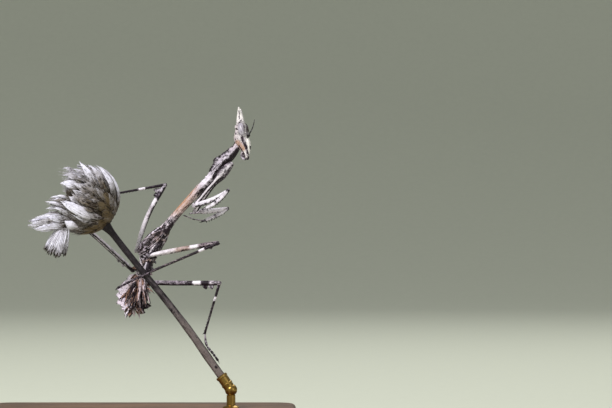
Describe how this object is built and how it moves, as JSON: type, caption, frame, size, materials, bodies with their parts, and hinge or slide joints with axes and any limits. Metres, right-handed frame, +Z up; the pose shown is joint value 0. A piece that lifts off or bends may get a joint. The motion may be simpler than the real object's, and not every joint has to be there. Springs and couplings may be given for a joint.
{
  "type": "conehead praying mantis nymph model on a dry seed-head stem",
  "caption": "Still life-size model of a slender young conehead mantis with folded grasping legs, clinging to a slanting dry stem and its seed head, on a small flat stand.",
  "frame": {"origin": "centre of the stand's base on the surface it rests on", "axes": "+Z up; +X to the side the mantis's head leans to; -Y towards the side the mantis shows, so its right side faces -Y"},
  "size_m": [0.056, 0.04, 0.0593],
  "materials": {
    "mottled_cuticle": "dull grey-lilac cuticle with dark mottling",
    "dark_cuticle": "dull black-brown cuticle with pale flecks",
    "banded_leg_cuticle": "dull pale cuticle with dark and white bands",
    "pale_crest_cuticle": "dull cream-white cuticle with dark specks",
    "compound_eye": "smooth grey-lilac eye",
    "feeler_cuticle": "dull dark brown cuticle",
    "dry_stem": "dry, finely ribbed, dark",
    "dry_bract": "dry, papery, fibrous",
    "oiled_walnut": "oiled, satin",
    "satin_brass": "satin"
  },
  "bodies": {
    "root": {"head": "pale_crest_cuticle", "eye_right": "compound_eye", "eye_left": "compound_eye", "antenna_right": "feeler_cuticle", "antenna_left": "feeler_cuticle", "mouthparts": "mottled_cuticle", "neck": "mottled_cuticle", "pronotum": "mottled_cuticle", "thorax": "dark_cuticle", "wing_pad_right": "dark_cuticle", "wing_pad_left": "dark_cuticle", "abdomen_front": "mottled_cuticle", "abdomen_middle": "mottled_cuticle", "abdomen_tip": "mottled_cuticle", "cercus_right": "mottled_cuticle", "cercus_left": "mottled_cuticle", "leg_mid_right_coxa": "banded_leg_cuticle", "leg_mid_right_femur": "banded_leg_cuticle", "leg_mid_right_tibia": "banded_leg_cuticle", "leg_mid_right_tarsus": "banded_leg_cuticle", "leg_mid_left_coxa": "banded_leg_cuticle", "leg_mid_left_femur": "banded_leg_cuticle", "leg_mid_left_tibia": "banded_leg_cuticle", "leg_mid_left_tarsus": "banded_leg_cuticle", "leg_hind_right_coxa": "banded_leg_cuticle", "leg_hind_right_femur": "banded_leg_cuticle", "leg_hind_right_tibia": "banded_leg_cuticle", "leg_hind_right_tarsus": "banded_leg_cuticle", "leg_hind_left_coxa": "banded_leg_cuticle", "leg_hind_left_femur": "banded_leg_cuticle", "leg_hind_left_tibia": "banded_leg_cuticle", "leg_hind_left_tarsus": "banded_leg_cuticle", "foreleg_right_coxa": "banded_leg_cuticle", "foreleg_right_femur": "banded_leg_cuticle", "foreleg_right_tibia": "banded_leg_cuticle", "foreleg_right_tarsus": "banded_leg_cuticle", "foreleg_left_coxa": "banded_leg_cuticle", "foreleg_left_femur": "banded_leg_cuticle", "foreleg_left_tibia": "banded_leg_cuticle", "foreleg_left_tarsus": "banded_leg_cuticle", "perch_seed_head": "dry_bract", "perch_stem": "dry_stem", "stand_ferrule": "satin_brass", "stand_rod": "satin_brass", "stand_base": "oiled_walnut"}
  },
  "joints": []
}
